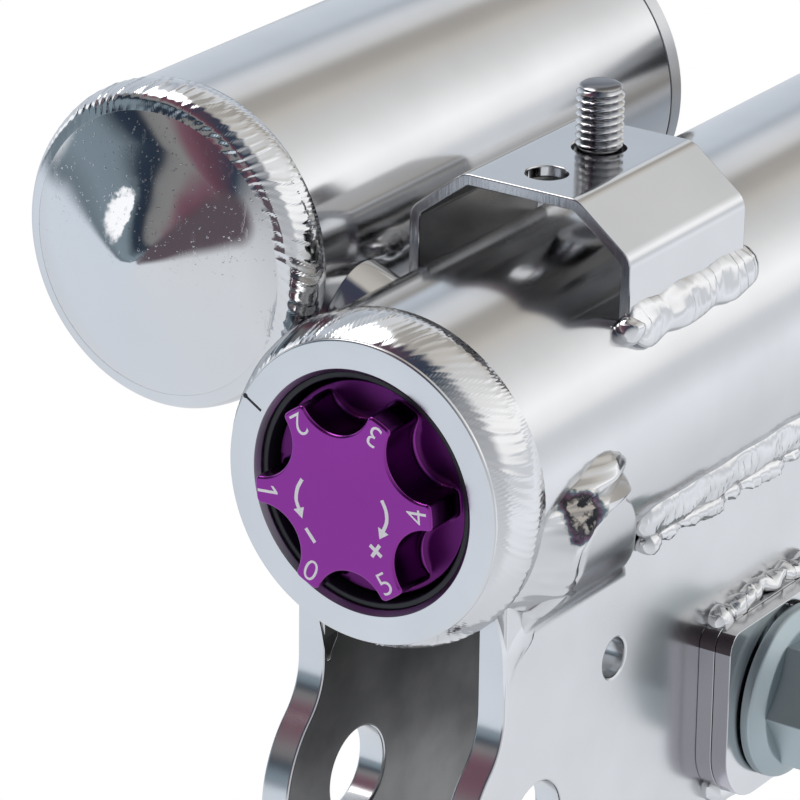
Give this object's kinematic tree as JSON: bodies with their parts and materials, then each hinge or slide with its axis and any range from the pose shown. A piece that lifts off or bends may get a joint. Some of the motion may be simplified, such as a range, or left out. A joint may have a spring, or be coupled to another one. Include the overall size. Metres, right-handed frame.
{
  "type": "coilover strut",
  "caption": "Strut coilover with knuckle clevis, remote reservoir, damping knob at the foot, height-adjustable spring seat, coil spring and pillow ball top mount.",
  "frame": {"origin": "centre of the foot ring's flat end face, on the strut axis", "axes": "+Z along the strut axis towards the top mount; -Y from the strut to the knuckle bolts; X along the knuckle bolts"},
  "size_m": [0.1466, 0.1549, 0.4893],
  "materials": {
    "stainless": "polished stainless steel",
    "weld_bead": "bright rippled weld",
    "zinc": "blue zinc plate",
    "purple_anodised": "satin anodised",
    "black_plastic": "satin",
    "aluminium": "satin",
    "spring_paint": "powder coat",
    "rubber": "matt",
    "foam": "cellular polyurethane",
    "liner": "matt"
  },
  "bodies": {
    "strut": {"strut_tube": "stainless", "foot_ring": "stainless", "weld_foot": "weld_bead", "bore_sleeve": "black_plastic", "valve_body": "aluminium", "base_valve": "aluminium", "base_shims": "zinc", "rod_guide": "aluminium", "rod_wiper": "rubber", "reservoir_tube": "stainless", "reservoir_cap": "stainless", "weld_reservoir": "weld_bead", "reservoir_end": "aluminium", "fill_valve": "zinc", "bridge_boss": "stainless", "weld_bridge": "weld_bead", "hat_bracket": "stainless", "line_stud": "zinc", "weld_hat": "weld_bead", "ear_right": "stainless", "ear_left": "stainless", "weld_ear_right": "weld_bead", "weld_ear_left": "weld_bead", "plate_inner_right": "stainless", "plate_outer_right": "stainless", "plate_inner_left": "stainless", "plate_outer_left": "stainless", "weld_plates_right": "weld_bead", "weld_plates_left": "weld_bead"},
    "camber_bolt": {"camber_bolt": "zinc", "camber_nut": "zinc"},
    "bump_knob": {"bump_knob": "purple_anodised", "needle_stem": "zinc"},
    "floating_piston": {"floating_piston": "aluminium", "floating_seal": "rubber"},
    "perch": {"perch_insert": "black_plastic", "perch_screw": "zinc", "perch_ring": "aluminium", "main_spring": "spring_paint"},
    "rod": {"piston_rod": "stainless", "piston": "aluminium", "piston_band": "liner", "piston_nut": "zinc", "droop_stop": "rubber", "bump_stop": "foam", "upper_seat": "aluminium", "spring_pad": "rubber", "bearing_ball": "zinc", "top_nut": "zinc"},
    "rebound_knob": {"rebound_knob": "black_plastic"},
    "liner": {"bearing_liner": "liner"},
    "carrier": {"carrier": "aluminium", "bearing_race": "zinc", "clamp_screws": "zinc"},
    "top_plate": {"top_plate": "aluminium", "top_studs": "zinc"}
  },
  "joints": [
    {"name": "bump_click", "type": "hinge", "parent": "strut", "child": "bump_knob", "pos_m": [0, 0, 0], "axis": [0, 0, 1], "range_deg": [-208, 92]},
    {"name": "perch_height", "type": "slide", "parent": "strut", "child": "perch", "axis": [0, 0, 1], "range_m": [-0.038, 0]},
    {"name": "damper_stroke", "type": "slide", "parent": "strut", "child": "rod", "axis": [0, 0, 1], "range_m": [-0.078, 0], "stiffness_N_per_m": 80000, "springref_m": 0.004, "deforming": ["main_spring"]},
    {"name": "float_slide", "type": "slide", "parent": "strut", "child": "floating_piston", "axis": [0, 0, 1], "range_m": [0, 0.0165]},
    {"name": "camber_bolt_slide", "type": "slide", "parent": "strut", "child": "camber_bolt", "axis": [0, 1, 0], "range_m": [-0.008, 0.008]},
    {"name": "rebound_click", "type": "hinge", "parent": "rod", "child": "rebound_knob", "pos_m": [0, 0, 0.472], "axis": [0, 0, 1], "range_deg": [-165, 165]},
    {"name": "bearing_tilt", "type": "hinge", "parent": "rod", "child": "liner", "pos_m": [0, 0, 0.44], "axis": [1, 0, 0], "range_deg": [-8, 8]},
    {"name": "bearing_swivel", "type": "hinge", "parent": "liner", "child": "carrier", "pos_m": [0, 0, 0.44], "axis": [0, 0, 1], "range_deg": [-40, 40]},
    {"name": "camber_slide", "type": "slide", "parent": "carrier", "child": "top_plate", "axis": [0, 1, 0], "range_m": [-0.01, 0.01]}
  ],
  "couplings": [
    {"joint": "float_slide", "follows": "damper_stroke", "ratio": -0.19674}
  ]
}
